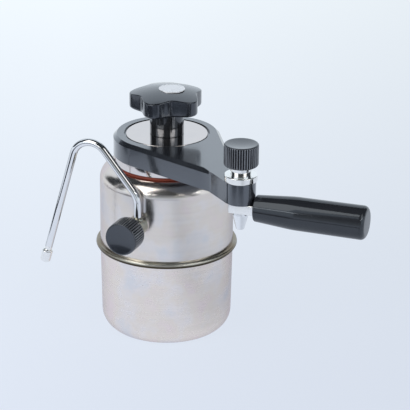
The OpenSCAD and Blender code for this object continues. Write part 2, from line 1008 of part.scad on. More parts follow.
module coffee_spout() {
    taper_z = block_z - spout_straight_l;
    color(polished)
        at_tap()
            difference() {
                union() {
                    plug(spout_shank_r, block_z, block_z + spout_shank_l);
                    plug(spout_d / 2, taper_z, block_z);
                    translate([0, 0, block_z - spout_l])
                        cylinder(d1 = spout_tip_d, d2 = spout_d, h = spout_l - spout_straight_l);
                }
                plug(spout_bore_d / 2, block_z - spout_l - over, block_z + spout_shank_l + over);
            }
}

// Handle

module handle_rod() {
    color(steel)
        along_handle() plug(handle_rod_d / 2, chamber_r + over, grip_start + handle_rod_l);
}

module handle_grip() {
    grip_end = grip_start + grip_l;
    grip_r = grip_d / 2;
    color(black)
        along_handle()
            difference() {
                rotate_extrude() {
                    polygon([
                        [0, grip_start],
                        [grip_neck_d / 2, grip_start],
                        [grip_r, grip_start + grip_flare_l],
                        [grip_r, grip_end - grip_round],
                        [grip_r - grip_round, grip_end - grip_round],
                        [grip_r - grip_round, grip_end],
                        [0, grip_end]
                    ]);
                    translate([grip_r - grip_round, grip_end - grip_round]) circle(grip_round);
                }
                plug(handle_rod_d / 2 + fit_gap, 0, grip_start + handle_rod_l);
            }
}

// Star knob

module thrust_washer() {
    color(brass) tube(washer_r, rod_r + rod_gap, plate_z, plate_z + washer_t);
}

module star_knob() {
    steps = 24 * star_lobes;
    outline = [for (i = [0 : steps - 1])
        let (a = i * 360 / steps,
             s = (1 + cos(star_lobes * a)) / 2,
             r = star_hollow_r + (star_tip_r - star_hollow_r) * s)
        [r * cos(a), r * sin(a)]];
    color(black)
        difference() {
            intersection() {
                rotate([0, 0, star_turn])
                    translate([0, 0, star_z])
                        linear_extrude(star_h) polygon(outline);
                translate([0, 0, star_top - dome_r])
                    rotate([0, 0, star_turn + 180 / steps])
                        sphere(r = dome_r);
            }
            place_disc() plug(disc_d / 2, star_top - disc_sink, star_top + over);
        }
}

module knob_neck() {
    color(black)
        difference() {
            plug(neck_d / 2, neck_z, star_z);
            plug(washer_r + slip_gap, neck_z - over, plate_z + washer_t);
            plug(nut_r + fit_gap, neck_z - over, nut_z + nut_h);
        }
}

module knob_nut() {
    color(brass) tube(nut_r, rod_r + fit_gap, nut_z, nut_z + nut_h);
}

module place_disc() {
    rotate([0, 0, disc_turn]) translate([disc_shift, 0, 0]) children();
}

module knob_disc() {
    color("#e6e7ea")
        place_disc() plug(disc_d / 2 - fit_gap, star_top - disc_sink, star_top - disc_sink + disc_t);
}

lower_shell();
upper_shell();
seam_ring();
mouth_ring();
rod_anchor();
stay_rod();
steam_pad();
steam_valve_body();
steam_lock_nut();
steam_gland_nut();
steam_packing();
steam_stem();
steam_knob();
steam_wand();
wand_tip();
safety_pad();
safety_valve_body();
safety_cap();
safety_poppet();
safety_spring();
coffee_funnel();
lower_filter();
lid_cap();
lid_gasket();
upper_filter();
lid_bush();
collar_arm();
collar_clip();
coffee_duct();
coffee_valve_body();
coffee_gland_nut();
coffee_packing();
coffee_stem();
coffee_knob();
coffee_spout();
handle_rod();
handle_grip();
thrust_washer();
star_knob();
knob_neck();
knob_nut();
knob_disc();
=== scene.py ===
import math

import bmesh
import bpy
from mathutils import Matrix, Vector


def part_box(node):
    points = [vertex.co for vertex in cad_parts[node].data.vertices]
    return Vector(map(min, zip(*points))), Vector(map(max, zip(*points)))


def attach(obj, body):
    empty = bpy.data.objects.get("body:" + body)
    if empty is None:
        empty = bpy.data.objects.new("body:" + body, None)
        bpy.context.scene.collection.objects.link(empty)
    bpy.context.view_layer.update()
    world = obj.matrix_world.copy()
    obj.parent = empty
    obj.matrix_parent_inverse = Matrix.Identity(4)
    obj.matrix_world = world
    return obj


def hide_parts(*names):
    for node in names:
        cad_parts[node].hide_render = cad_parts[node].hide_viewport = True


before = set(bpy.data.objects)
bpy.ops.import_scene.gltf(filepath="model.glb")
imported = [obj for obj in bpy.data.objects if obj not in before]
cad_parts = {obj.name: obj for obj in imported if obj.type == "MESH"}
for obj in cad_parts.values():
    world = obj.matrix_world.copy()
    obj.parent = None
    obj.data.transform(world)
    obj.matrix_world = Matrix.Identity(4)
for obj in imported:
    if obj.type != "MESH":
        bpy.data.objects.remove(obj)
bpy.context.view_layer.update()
scene = bpy.context.scene
scene.view_settings.view_transform = "Standard"


# Viewpoint of a long lens on a tripod, looking down on the table by about 22 degrees.
# The picture is square, and the lens is turned half a degree about its own axis.
mm = 0.001

eye = Vector((553.6, -1508.7, 748.7)) * mm
heading = math.atan2(0.9455, -0.3256)
dip = math.radians(21.7326)
tilt = math.radians(0.546)
sight = Vector((math.cos(dip) * math.cos(heading), math.cos(dip) * math.sin(heading), -math.sin(dip)))
lens = bpy.data.cameras.new("viewpoint")
lens.sensor_fit = "HORIZONTAL"
lens.sensor_width = 36
lens.lens = 180.4
viewpoint = bpy.data.objects.new("viewpoint", lens)
viewpoint.matrix_world = (
    Matrix.Translation(eye) @ sight.to_track_quat("-Z", "Y").to_matrix().to_4x4()
    @ Matrix.Rotation(tilt, 4, "Z"))
scene.collection.objects.link(viewpoint)
scene.camera = viewpoint


# Table top of pale bluish white board, a little lighter towards the back; its glow is painted brighter to the
# left, as if lit from there.
# Part of its light is its own, so that the shadow on it stays as faint as in a light tent.
# Gloss shows it dimmer on the right of the object, by a painted shade that stands for shadow.
class Wire:
    """A socket of a shader, for reckoning with; node() adds any other node to the same shader."""

    def __init__(self, tree, socket=None):
        self.tree = tree
        self.socket = socket

    def node(self, kind, settings, sockets, out=0):
        made = self.tree.nodes.new(kind)
        for name, value in settings.items():
            if name == "stops":
                ramp = made.color_ramp.elements
                ramp.remove(ramp[1])
                ramp[0].position, ramp[0].color = value[0]
                for position, colour in value[1:]:
                    ramp.new(position).color = colour
            else:
                setattr(made, name, value)
        for name, value in sockets.items():
            if isinstance(value, Wire):
                self.tree.links.new(value.socket, made.inputs[name])
            else:
                made.inputs[name].default_value = value
        return Wire(self.tree, made.outputs[out] if made.outputs else None)

    def reckon(self, operation, first, second):
        return self.node("ShaderNodeMath", {"operation": operation}, {0: first, 1: second})

    def __add__(self, other):
        return self.reckon("ADD", self, other)

    def __sub__(self, other):
        return self.reckon("SUBTRACT", self, other)

    def __rsub__(self, other):
        return self.reckon("SUBTRACT", other, self)

    def __mul__(self, other):
        return self.reckon("MULTIPLY", self, other)

    __radd__ = __add__
    __rmul__ = __mul__


def material(name, paint):
    made = bpy.data.materials.new(name)
    made.use_nodes = True
    made.node_tree.nodes.clear()
    wire = Wire(made.node_tree)
    wire.node("ShaderNodeOutputMaterial", {}, {"Surface": paint(wire)})
    return made


table_near, table_far = -0.20, 1.0
table_near_white = (0.695, 0.748, 0.848, 1)
table_far_white = (0.890, 0.950, 1.0, 1)
table_own_light = 0.82
# painted light: the table's own glow is set brighter on the left than on the right
table_left, table_left_painted_light = -0.14, 1.13
table_right, table_right_painted_light = 0.30, 1.01
# painted shade: stops that dim the table, in gloss only, to the right of the object
painted_gloss_shade = ((0.03, 1.0), (0.11, 0.74), (0.17, 0.80), (0.28, 1.0))


def board(wire):
    place = wire.node("ShaderNodeTexCoord", {}, {}, "Object")
    away = wire.node(
        "ShaderNodeVectorMath", {"operation": "DOT_PRODUCT"},
        {0: place, 1: (math.cos(heading), math.sin(heading), 0)}, "Value")
    share = wire.node(
        "ShaderNodeMapRange", {},
        {"Value": away, "From Min": table_near, "From Max": table_far, "To Min": 0.0, "To Max": 1.0})
    white = wire.node(
        "ShaderNodeMix", {"data_type": "RGBA"}, {0: share, 6: table_near_white, 7: table_far_white}, 2)
    across = wire.node(
        "ShaderNodeVectorMath", {"operation": "DOT_PRODUCT"},
        {0: place, 1: (math.sin(heading), -math.cos(heading), 0)}, "Value")
    # painted light: the glow grows dimmer from left to right
    level = wire.node(
        "ShaderNodeMapRange", {},
        {"Value": across, "From Min": table_left, "From Max": table_right,
         "To Min": table_left_painted_light, "To Max": table_right_painted_light})
    # painted shade of the table, seen only in gloss
    shade = wire.node(
        "ShaderNodeValToRGB",
        {"stops": [(spot, (tone, tone, tone, 1)) for spot, tone in painted_gloss_shade]}, {"Fac": across})
    shone = wire.node("ShaderNodeLightPath", {}, {}, "Is Glossy Ray")
    level = level * (1.0 - shone + shone * shade)
    lit = wire.node("ShaderNodeBsdfDiffuse", {}, {"Color": white})
    glow = wire.node("ShaderNodeEmission", {}, {"Color": white, "Strength": level})
    return wire.node("ShaderNodeMixShader", {}, {0: table_own_light, 1: lit, 2: glow})


def card(name, look, width, depth, matrix):
    """A flat card that belongs to the studio and not to the object."""
    bm = bmesh.new()
    bmesh.ops.create_grid(bm, x_segments=1, y_segments=1, size=0.5)
    bmesh.ops.transform(bm, matrix=matrix @ Matrix.Diagonal((width, depth, 1, 1)), verts=bm.verts)
    mesh = bpy.data.meshes.new(name)
    bm.to_mesh(mesh)
    bm.free()
    mesh.materials.append(look)
    made = bpy.data.objects.new(name, mesh)
    scene.collection.objects.link(made)
    return made


card("table", material("table_board", board), 12, 12, Matrix.Identity(4))


# Light of the studio: a pale room, and two soft boxes that stand on the table beside the lens.
# Gloss also shows lamp heads above them, their tubes, a dim wall behind the lens, and dark cloth where the
# table ends and above it.
room_tint = (0.83, 0.915, 1.0, 1)
room_light = 0.50
room_white = 1.04


def add_room():
    room = bpy.data.worlds.new("room")
    room.use_nodes = True
    room.node_tree.nodes.clear()
    wire = Wire(room.node_tree)
    seen = wire.node("ShaderNodeLightPath", {}, {}, "Is Camera Ray")
    shone = wire.node("ShaderNodeLightPath", {}, {}, "Is Glossy Ray")
    through = wire.node("ShaderNodeLightPath", {}, {}, "Is Transmission Ray")
    direct = wire.reckon("MINIMUM", seen + shone + through, 1.0)
    pale = wire.node(
        "ShaderNodeBackground", {},
        {"Color": room_tint, "Strength": direct * (room_white - room_light) + room_light})
    wire.node("ShaderNodeOutputWorld", {}, {"Surface": pale})
    scene.world = room


add_room()

to_lens = heading + math.pi
box_turn = math.radians(43)
box_away, box_rise = 0.62, 0.30
box_wide, box_high = 0.52, 0.58
box_light = {"left": 1.8, "right": 1.3}
lamp_white = (1.0, 0.99, 0.97)
aim = Vector((0, 0, 0.10))
wall_low_light, wall_high_light, wall_fade = 0.55, 0.05, 1.1


def glow_of(strength):
    def paint(wire):
        return wire.node("ShaderNodeEmission", {}, {"Color": (*lamp_white, 1), "Strength": strength})
    return paint


def fading_wall(wire):
    place = wire.node("ShaderNodeTexCoord", {}, {}, "Object")
    height = wire.node("ShaderNodeSeparateXYZ", {}, {0: place}, "Z")
    strength = wire.node(
        "ShaderNodeMapRange", {},
        {"Value": height, "From Min": 0.0, "From Max": wall_fade,
         "To Min": wall_low_light, "To Max": wall_high_light})
    return wire.node("ShaderNodeEmission", {}, {"Color": (0.88, 0.96, 1.0, 1), "Strength": strength})


def cloth(wire):
    return wire.node("ShaderNodeEmission", {}, {"Color": (0.030, 0.037, 0.045, 1), "Strength": 1.0})


def only_in_gloss(made):
    made.visible_camera = False
    made.visible_diffuse = False
    made.visible_transmission = False
    made.visible_volume_scatter = False
    made.visible_shadow = False


def facing(turn, away, rise):
    """A place beside the lens, turned to look at the object."""
    way = to_lens + turn
    stand = Vector((math.cos(way) * away, math.sin(way) * away, rise))
    return Matrix.Translation(stand) @ (aim - stand).to_track_quat("-Z", "Y").to_matrix().to_4x4()


lamp_head = material("lamp_head", glow_of(2.2))
lamp_head_dim = material("lamp_head_dim", glow_of(1.4))
lamp_tube = material("lamp_tube", glow_of(8.0))
for side, name in ((-1, "left"), (1, "right")):
    spot = facing(side * box_turn, box_away, box_rise)
    lamp = bpy.data.lights.new("soft_box_" + name, "AREA")
    lamp.shape = "RECTANGLE"
    lamp.size = box_wide
    lamp.size_y = box_high
    lamp.energy = box_light[name] * math.pi * box_wide * box_high
    lamp.color = lamp_white
    soft_box = bpy.data.objects.new("soft_box_" + name, lamp)
    soft_box.matrix_world = spot
    soft_box.visible_camera = False
    soft_box.visible_glossy = False
    scene.collection.objects.link(soft_box)
for name, glow, width, height, turn, away, rise in (
        ("lamp_head_left", lamp_head, 0.66, 0.80, -53, 0.75, 0.99),
        ("lamp_head_right", lamp_head_dim, 0.46, 0.40, 46, 0.80, 0.77),
        ("lamp_tube_left", lamp_tube, 0.45, 0.020, -42, 0.56, 0.365),
        ("lamp_tube_right", lamp_tube, 0.34, 0.020, 40, 0.56, 0.365)):
    only_in_gloss(card(name, glow, width, height, facing(math.radians(turn), away, rise)))

dark = material("dark_cloth", cloth)
forward = Matrix.Rotation(heading - math.pi / 2, 4, "Z")
upright = Matrix.Rotation(math.pi / 2, 4, "X")
sideways = Matrix.Rotation(math.pi / 2, 4, "Z")
for name, width, depth, turn, spot in (
        ("cloth_gap", 0.45, 0.125, 0, (0, -0.5975, 0.001)),
        ("cloth_corner", 0.62, 0.46, -50, (0, -0.68, 0.001)),
        ("cloth_gap_left", 0.14, 0.60, 0, (-0.54, 0.04, 0.0015)),
        ("cloth_overhead", 6.0, 2.1, 0, (0, 0.05, 1.5))):
    only_in_gloss(card(
        name, dark, width, depth,
        forward @ Matrix.Rotation(math.radians(turn), 4, "Z") @ Matrix.Translation(spot)))
for name, spot in (("cloth_left", (-1.05, 0.30, 0.62)), ("cloth_right", (1.05, 0.30, 0.62))):
    only_in_gloss(card(name, dark, 1.1, 0.75, forward @ Matrix.Translation(spot) @ sideways @ upright))
only_in_gloss(card(
    "wall_behind_lens", material("fading_wall", fading_wall), 3.0, 4.2,
    forward @ Matrix.Translation((0, -2.3, 2.1)) @ upright))


# Lower cup of the boiler: drawn stainless sheet, 1.2 mm thick, on a broad rounded foot.
# It is ground satin, and heat has left faint pink, straw and blue clouds on it.
def turned(profile, steps=160):
    """A body turned about Z from corners of (radius, height, rounding) in millimetres."""
    bm = bmesh.new()
    corners = [bm.verts.new((radius * mm, 0, height * mm)) for radius, height, _ in profile]
    following = corners[1:] + corners[:1] if profile[0][0] > 0 else corners[1:]
    for pair in zip(corners, following):
        bm.edges.new(pair)
    for corner, (_, _, rounding) in zip(corners, profile):
        if rounding:
            bmesh.ops.bevel(
                bm, geom=[corner], offset=rounding * mm, offset_type="OFFSET",
                segments=max(3, min(14, round(2 + rounding))), profile=0.5, affect="VERTICES", material=-1)
    bmesh.ops.spin(
        bm, geom=bm.verts[:] + bm.edges[:], axis=(0, 0, 1), cent=(0, 0, 0), angle=2 * math.pi, steps=steps,
        use_merge=True)
    return bm


def add_piece(bm, name, body, nodes, look):
    """Puts a finished mesh into the scene, on its body, in the place of the solids it stands for."""
    bmesh.ops.remove_doubles(bm, verts=bm.verts, dist=0.0005 * mm)
    bmesh.ops.dissolve_degenerate(bm, edges=bm.edges, dist=0.0005 * mm)
    bmesh.ops.recalc_face_normals(bm, faces=bm.faces)
    mesh = bpy.data.meshes.new(name)
    bm.to_mesh(mesh)
    bm.free()
    mesh.shade_smooth()
    mesh.set_sharp_from_angle(angle=math.radians(32))
    mesh.materials.append(look)
    piece = bpy.data.objects.new(name, mesh)
    scene.collection.objects.link(piece)
    even = piece.modifiers.new("even_shading", "WEIGHTED_NORMAL")
    even.keep_sharp = True
    even.weight = 100
    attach(piece, body)
    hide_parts(*nodes)
    return piece


def drawn_steel(colour, rough, tint, grain):
    """Ground sheet steel: clouds of heat tint, wiped patches, and grinding lines round the cup."""
    def paint(wire):
        place = wire.node("ShaderNodeTexCoord", {}, {}, "Object")
        clouds = wire.node(
            "ShaderNodeTexNoise", {}, {"Vector": place, "Scale": 40.0, "Detail": 5.0, "Roughness": 0.55})
        heat = wire.node(
            "ShaderNodeValToRGB",
            {"stops": ((0.30, (0.90, 0.95, 1.0, 1)), (0.45, (1.0, 0.99, 0.98, 1)),
                       (0.55, (1.0, 0.965, 0.90, 1)), (0.68, (1.0, 0.93, 0.93, 1)))}, {"Fac": clouds})
        tinted = wire.node(
            "ShaderNodeMix", {"data_type": "RGBA", "blend_type": "MULTIPLY"},
            {0: tint, 6: colour, 7: heat}, 2)
        drawn_out = wire.node("ShaderNodeMapping", {}, {"Vector": place, "Scale": (7.0, 7.0, 420.0)})
        lines = wire.node(
            "ShaderNodeTexNoise", {}, {"Vector": drawn_out, "Scale": 1.0, "Detail": 3.0, "Roughness": 0.6})
        wiped = wire.node(
            "ShaderNodeTexNoise", {}, {"Vector": place, "Scale": 45.0, "Detail": 4.0, "Roughness": 0.55})
        worn = wire.node(
            "ShaderNodeValToRGB",
            {"stops": ((0.25, (0.90, 0.90, 0.90, 1)), (0.75, (1.0, 1.0, 1.0, 1)))},
            {"Fac": lines * 0.5 + wiped * 0.5})
        brushed = wire.node(
            "ShaderNodeMix", {"data_type": "RGBA", "blend_type": "MULTIPLY"},
            {0: 1.0, 6: tinted, 7: worn}, 2)
        relief = wire.node("ShaderNodeBump", {}, {"Strength": grain, "Distance": 0.05 * mm, "Height": lines})
        return wire.node(
            "ShaderNodeBsdfPrincipled", {},
            {"Base Color": brushed, "Metallic": 1.0, "Specular Tint": (0.76, 0.73, 0.75, 1),
             "Roughness": rough + (lines - 0.5) * 0.06 + (wiped - 0.5) * 0.10, "Normal": relief})
    return paint


satin_steel = material("satin_steel", drawn_steel((0.91, 0.853, 0.830, 1), 0.27, 1.0, 0.06))
wall, floor = 1.2, 2.5
foot_round = 15.5
seam_height, seam_radius = 76.7, 56.0
foot_corner = 54.62
add_piece(
    turned((
        (0, 0, 0), (foot_corner, 0, foot_round), (seam_radius, seam_height, 0),
        (seam_radius - wall, seam_height, 0), (foot_corner - wall, floor, foot_round - floor),
        (0, floor, 0))),
    "lower_cup", "boiler", ["lower_shell"], satin_steel)


# Upper cup of the boiler: the same sheet drawn upside down, with a rounded shoulder and the filling mouth.
# It is buffed brighter than the lower one, so that the wand shows in it.
bright_steel = material("bright_steel", drawn_steel((0.83, 0.785, 0.76, 1), 0.22, 0.9, 0.05))
shoulder_top, shoulder_round, mouth = 146.0, 12.5, 41.0
add_piece(
    turned((
        (seam_radius, seam_height, 0), (seam_radius, shoulder_top, shoulder_round), (mouth, shoulder_top, 0),
        (mouth, shoulder_top - wall, 0), (seam_radius - wall, shoulder_top - wall, shoulder_round - wall),
        (seam_radius - wall, seam_height, 0))),
    "upper_cup", "boiler", ["upper_shell"], bright_steel)


# Rolled seam: the rims of the two cups folded into one bead and brazed, its lower fold set back.
# The heat of the brazing has turned it straw; under the fold it is dark brown, partly brazing stain and
# partly painted shade.
# Where it faces the viewpoint, between the two valves, a painted pale sheen stands for a highlight.
# painted highlight: the seam is paler on the side that faces the viewpoint
painted_sheen_side = math.radians(-71)
painted_sheen_from, painted_sheen_to = 34.0, 57.0
# below these heights the seam is dark brown: brazing stain and painted shade under the fold
stain_and_shade_low, stain_and_shade_high = 76.3, 77.5
stain_and_shade_brown = (0.060, 0.046, 0.028, 1)
painted_sheen_straw = (0.78, 0.75, 0.65, 1)


def brazed_seam(wire):
    place = wire.node("ShaderNodeTexCoord", {}, {}, "Object")
    clouds = wire.node("ShaderNodeTexNoise", {}, {"Vector": place, "Scale": 60.0, "Detail": 4.0})
    straw = wire.node(
        "ShaderNodeValToRGB",
        {"stops": ((0.30, (0.23, 0.18, 0.12, 1)), (0.50, (0.29, 0.25, 0.19, 1)),
                   (0.68, (0.34, 0.31, 0.26, 1)))}, {"Fac": clouds})
    height = wire.node("ShaderNodeSeparateXYZ", {}, {0: place}, "Z")
    upper = wire.node(
        "ShaderNodeMapRange", {},
        {"Value": height, "From Min": stain_and_shade_low * mm, "From Max": stain_and_shade_high * mm,
         "To Min": 0.0, "To Max": 1.0})
    # mask of the painted highlight, toward the viewpoint
    forth = wire.node(
        "ShaderNodeVectorMath", {"operation": "DOT_PRODUCT"},
        {0: place, 1: (math.cos(painted_sheen_side), math.sin(painted_sheen_side), 0)}, "Value")
    painted_sheen = wire.node(
        "ShaderNodeMapRange", {},
        {"Value": forth, "From Min": painted_sheen_from * mm, "From Max": painted_sheen_to * mm,
         "To Min": 0.0, "To Max": 1.0})
    straw_and_sheen = wire.node("ShaderNodeMix", {"data_type": "RGBA"}, {0: painted_sheen, 6: straw, 7: painted_sheen_straw}, 2)
    # painted shade under the fold, together with brazing stain
    stained_and_shaded = wire.node("ShaderNodeMix", {"data_type": "RGBA"}, {0: upper, 6: stain_and_shade_brown, 7: straw_and_sheen}, 2)
    return wire.node(
        "ShaderNodeBsdfPrincipled", {},
        {"Base Color": stained_and_shaded, "Metallic": 1.0, "Roughness": 0.26 + clouds * 0.12})


straw_seam = material("straw_seam", brazed_seam)
bead_in, bead_out, bead_half, fold = 55.4, 59.5, 2.4, 0.7
add_piece(
    turned((
        (bead_in, seam_height - bead_half, 0), (bead_out - fold, seam_height - bead_half, 0.8),
        (bead_out - fold, seam_height - 1.1, 0.1), (bead_out, seam_height - 0.9, 0.5),
        (bead_out, seam_height + bead_half, bead_half), (bead_in, seam_height + bead_half, 0))),
    "rolled_seam", "boiler", ["seam_ring"], straw_seam)


# Inside of the boiler: the turned ring of the mouth, the boss on the floor and the rod that stands in it.
# Plain turned steel that no one polishes.
def turned_metal(colour, rough):
    """Plain turned metal with dull patches and fine tool lines."""
    def paint(wire):
        place = wire.node("ShaderNodeTexCoord", {}, {}, "Object")
        dull = wire.node("ShaderNodeTexNoise", {}, {"Vector": place, "Scale": 130.0, "Detail": 4.0})
        drawn_out = wire.node("ShaderNodeMapping", {}, {"Vector": place, "Scale": (60.0, 60.0, 2500.0)})
        lines = wire.node("ShaderNodeTexNoise", {}, {"Vector": drawn_out, "Scale": 1.0, "Detail": 2.0})
        shade = wire.node(
            "ShaderNodeMix", {"data_type": "RGBA"},
            {0: dull * 0.5, 6: colour, 7: (colour[0] * 0.72, colour[1] * 0.72, colour[2] * 0.72, 1)}, 2)
        return wire.node(
            "ShaderNodeBsdfPrincipled", {},
            {"Base Color": shade, "Metallic": 1.0,
             "Roughness": rough + (lines - 0.5) * 0.16 + (dull - 0.5) * 0.10})
    return paint


def dress(look, *nodes):
    """Gives solids that keep their own mesh a finish."""
    for name in nodes:
        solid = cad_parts[name]
        if not solid.material_slots:
            solid.data.materials.append(look)
        for held in solid.material_slots:
            held.material = look


plain_steel = material("plain_steel", turned_metal((0.60, 0.60, 0.59, 1), 0.30))
dress(plain_steel, "mouth_ring", "rod_anchor", "stay_rod", "steam_lock_nut")


# Steam valve: a plated brass body on a saddle washer, with a socket for the wand on its upper side.
# Turned and plated, it shows the brass a little through the plating.
def on_wall(angle):
    """Turns a body that stands on Z so that it stands out from the wall of the boiler."""
    return (
        Matrix.Rotation(math.radians(angle), 4, "Z") @ Matrix.Translation((0, 0, valve_height * mm))
        @ Matrix.Rotation(math.pi / 2, 4, "Y"))


def joined(*bodies):
    """One closed body from bodies that run into each other."""
    cores = []
    for bm in bodies:
        bmesh.ops.remove_doubles(bm, verts=bm.verts, dist=0.0005 * mm)
        bmesh.ops.recalc_face_normals(bm, faces=bm.faces)
        mesh = bpy.data.meshes.new("core")
        bm.to_mesh(mesh)
        bm.free()
        core = bpy.data.objects.new("core", mesh)
        scene.collection.objects.link(core)
        cores.append(core)
    for core in cores[1:]:
        weld = cores[0].modifiers.new("weld", "BOOLEAN")
        weld.operation = "UNION"
        weld.solver = "EXACT"
        weld.object = core
    bpy.context.view_layer.update()
    whole = cores[0].evaluated_get(bpy.context.evaluated_depsgraph_get())
    mesh = bpy.data.meshes.new_from_object(whole)
    bm = bmesh.new()
    bm.from_mesh(mesh)
    for core in cores:
        spent = core.data
        bpy.data.objects.remove(core)
        bpy.data.meshes.remove(spent)
    bpy.data.meshes.remove(mesh)
    return bm


def plated(colour, warm, rough):
    """Bright plating with wiped patches, warmer where it is thin."""
    def paint(wire):
        place = wire.node("ShaderNodeTexCoord", {}, {}, "Object")
        thin = wire.node("ShaderNodeTexNoise", {}, {"Vector": place, "Scale": 45.0, "Detail": 2.0})
        wiped = wire.node("ShaderNodeTexNoise", {}, {"Vector": place, "Scale": 240.0, "Detail": 3.0})
        shade = wire.node("ShaderNodeMix", {"data_type": "RGBA"}, {0: thin, 6: colour, 7: warm}, 2)
        return wire.node(
            "ShaderNodeBsdfPrincipled", {},
            {"Base Color": shade, "Metallic": 1.0, "Roughness": rough + (wiped - 0.5) * 0.08})
    return paint


warm_plating = material("warm_plating", plated((0.44, 0.45, 0.43, 1), (0.40, 0.37, 0.23, 1), 0.18))
valve_height = 111.5
steam_angle = -93.5
washer_seat, washer_face, steam_washer_radius = 54.6, 57.2, 8.5
barrel_foot, barrel_radius, barrel_end = 8.4, 8.2, 71.2
socket_out, socket_side, socket_radius, socket_mouth, socket_end = 62.0, -1.4, 4.4, 3.3, 8.8

steam_washer = turned((
    (0, washer_seat, 0), (steam_washer_radius, washer_seat, 0), (steam_washer_radius, washer_face, 0.2),
    (0, washer_face, 0)), 64)
bmesh.ops.transform(steam_washer, matrix=on_wall(steam_angle), verts=steam_washer.verts)
add_piece(steam_washer, "steam_washer", "boiler", ["steam_pad"], bright_steel)

barrel = turned((
    (0, washer_face, 0), (barrel_foot, washer_face, 0.1), (8.25, 60.2, 0.4), (barrel_radius, barrel_end, 0.6),
    (0, barrel_end, 0)), 96)
bmesh.ops.transform(barrel, matrix=on_wall(steam_angle), verts=barrel.verts)
socket = turned((
    (0, 2, 0), (socket_radius, 2, 0), (socket_radius, 7.4, 0.3), (socket_mouth, socket_end, 0.4),
    (0, socket_end, 0)), 64)
socket_place = (
    Matrix.Rotation(math.radians(steam_angle - 90), 3, "Z") @ Vector((socket_side, socket_out, valve_height)))
bmesh.ops.translate(socket, verts=socket.verts, vec=socket_place * mm)
add_piece(joined(barrel, socket), "steam_valve", "boiler", ["steam_valve_body"], warm_plating)


# Gland nut of the steam valve: a low hexagon that presses the packing down on the needle.
# Cut from bar, with its corners turned off, and plated like the body.
def hexagon(across, low, high, chamfer):
    bm = bmesh.new()
    bmesh.ops.create_circle(bm, cap_ends=True, radius=across / 2 * mm, segments=6)
    bmesh.ops.translate(bm, verts=bm.verts, vec=(0, 0, low * mm))
    raised = bmesh.ops.extrude_face_region(bm, geom=bm.faces[:])["geom"]
    upper = [part for part in raised if isinstance(part, bmesh.types.BMVert)]
    bmesh.ops.translate(bm, verts=upper, vec=(0, 0, (high - low) * mm))
    bmesh.ops.recalc_face_normals(bm, faces=bm.faces)
    bmesh.ops.bevel(
        bm, geom=bm.edges[:], offset=chamfer * mm, offset_type="OFFSET", segments=2, profile=0.5,
        affect="EDGES", material=-1)
    return bm


steam_nut_across, steam_nut_end = 16.4, 74.2
steam_nut = hexagon(steam_nut_across, barrel_end, steam_nut_end, 0.4)
bmesh.ops.transform(steam_nut, matrix=on_wall(steam_angle), verts=steam_nut.verts)
add_piece(steam_nut, "steam_gland", "boiler", ["steam_gland_nut"], warm_plating)


# Packing and needle of the steam valve, out of sight in the body.
# A pressed pale ring on a turned brass spindle.
def pressed_ring(wire):
    place = wire.node("ShaderNodeTexCoord", {}, {}, "Object")
    specks = wire.node("ShaderNodeTexNoise", {}, {"Vector": place, "Scale": 700.0, "Detail": 3.0})
    shade = wire.node(
        "ShaderNodeMix", {"data_type": "RGBA"},
        {0: specks, 6: (0.86, 0.84, 0.78, 1), 7: (0.74, 0.71, 0.64, 1)}, 2)
    return wire.node("ShaderNodeBsdfPrincipled", {}, {"Base Color": shade, "Roughness": 0.5 + specks * 0.2})


pale_packing = material("pale_packing", pressed_ring)
brass = material("turned_brass", turned_metal((0.72, 0.55, 0.27, 1), 0.24))
dress(pale_packing, "steam_packing")
dress(brass, "steam_stem")


# Knob of the steam valve: black moulding with fine straight flutes and a dished face.
# Press fitted on the needle; the flutes die out just short of both ends, and their ridges carry a painted
# grey sheen.
def lofted(count, rings, centre=True):
    """A closed body through rings of points; each ring is a rule from a point's number to its place."""
    bm = bmesh.new()
    number = bm.verts.layers.int.new("number")
    bmesh.ops.create_circle(bm, cap_ends=False, radius=1, segments=count)
    for index, corner in enumerate(bm.verts):
        corner[number] = index
    edges = first = bm.edges[:]
    for step, rule in enumerate(rings):
        loop = bm.verts[:]
        if step:
            grown = bmesh.ops.extrude_edge_only(bm, edges=edges)["geom"]
            loop = [part for part in grown if isinstance(part, bmesh.types.BMVert)]
            on_loop = set(loop)
            edges = [part for part in grown
                     if isinstance(part, bmesh.types.BMEdge) and on_loop.issuperset(part.verts)]
        for corner in loop:
            corner.co = Vector(rule(corner[number])) * mm
    ends = bmesh.ops.edgeloop_fill(bm, edges=first)["faces"]
    ends += bmesh.ops.edgeloop_fill(bm, edges=edges)["faces"]
    if centre:
        bmesh.ops.poke(bm, faces=ends)
    return bm


flutes, flute_deep = 42, 1.3
flute_cut = (0, 0, 0, 0.45, 0.92, 1, 0.92, 0.45, 0, 0)
flute_points = len(flute_cut)
knob_radius = 13.7
# painted sheen: the ridges of the flutes are coloured grey for the light they catch
ridge_sheen_deep, ridge_sheen_fade = 0.6, 0.5
ridge_sheen_grey = (0.115, 0.120, 0.132, 1)


def flute_ring(radius, height, depth):
    count = flutes * flute_points

    def rule(number):
        turn = 2 * math.pi * number / count
        reach = radius - depth * flute_cut[number % flute_points]
        return reach * math.cos(turn), reach * math.sin(turn), height
    return rule


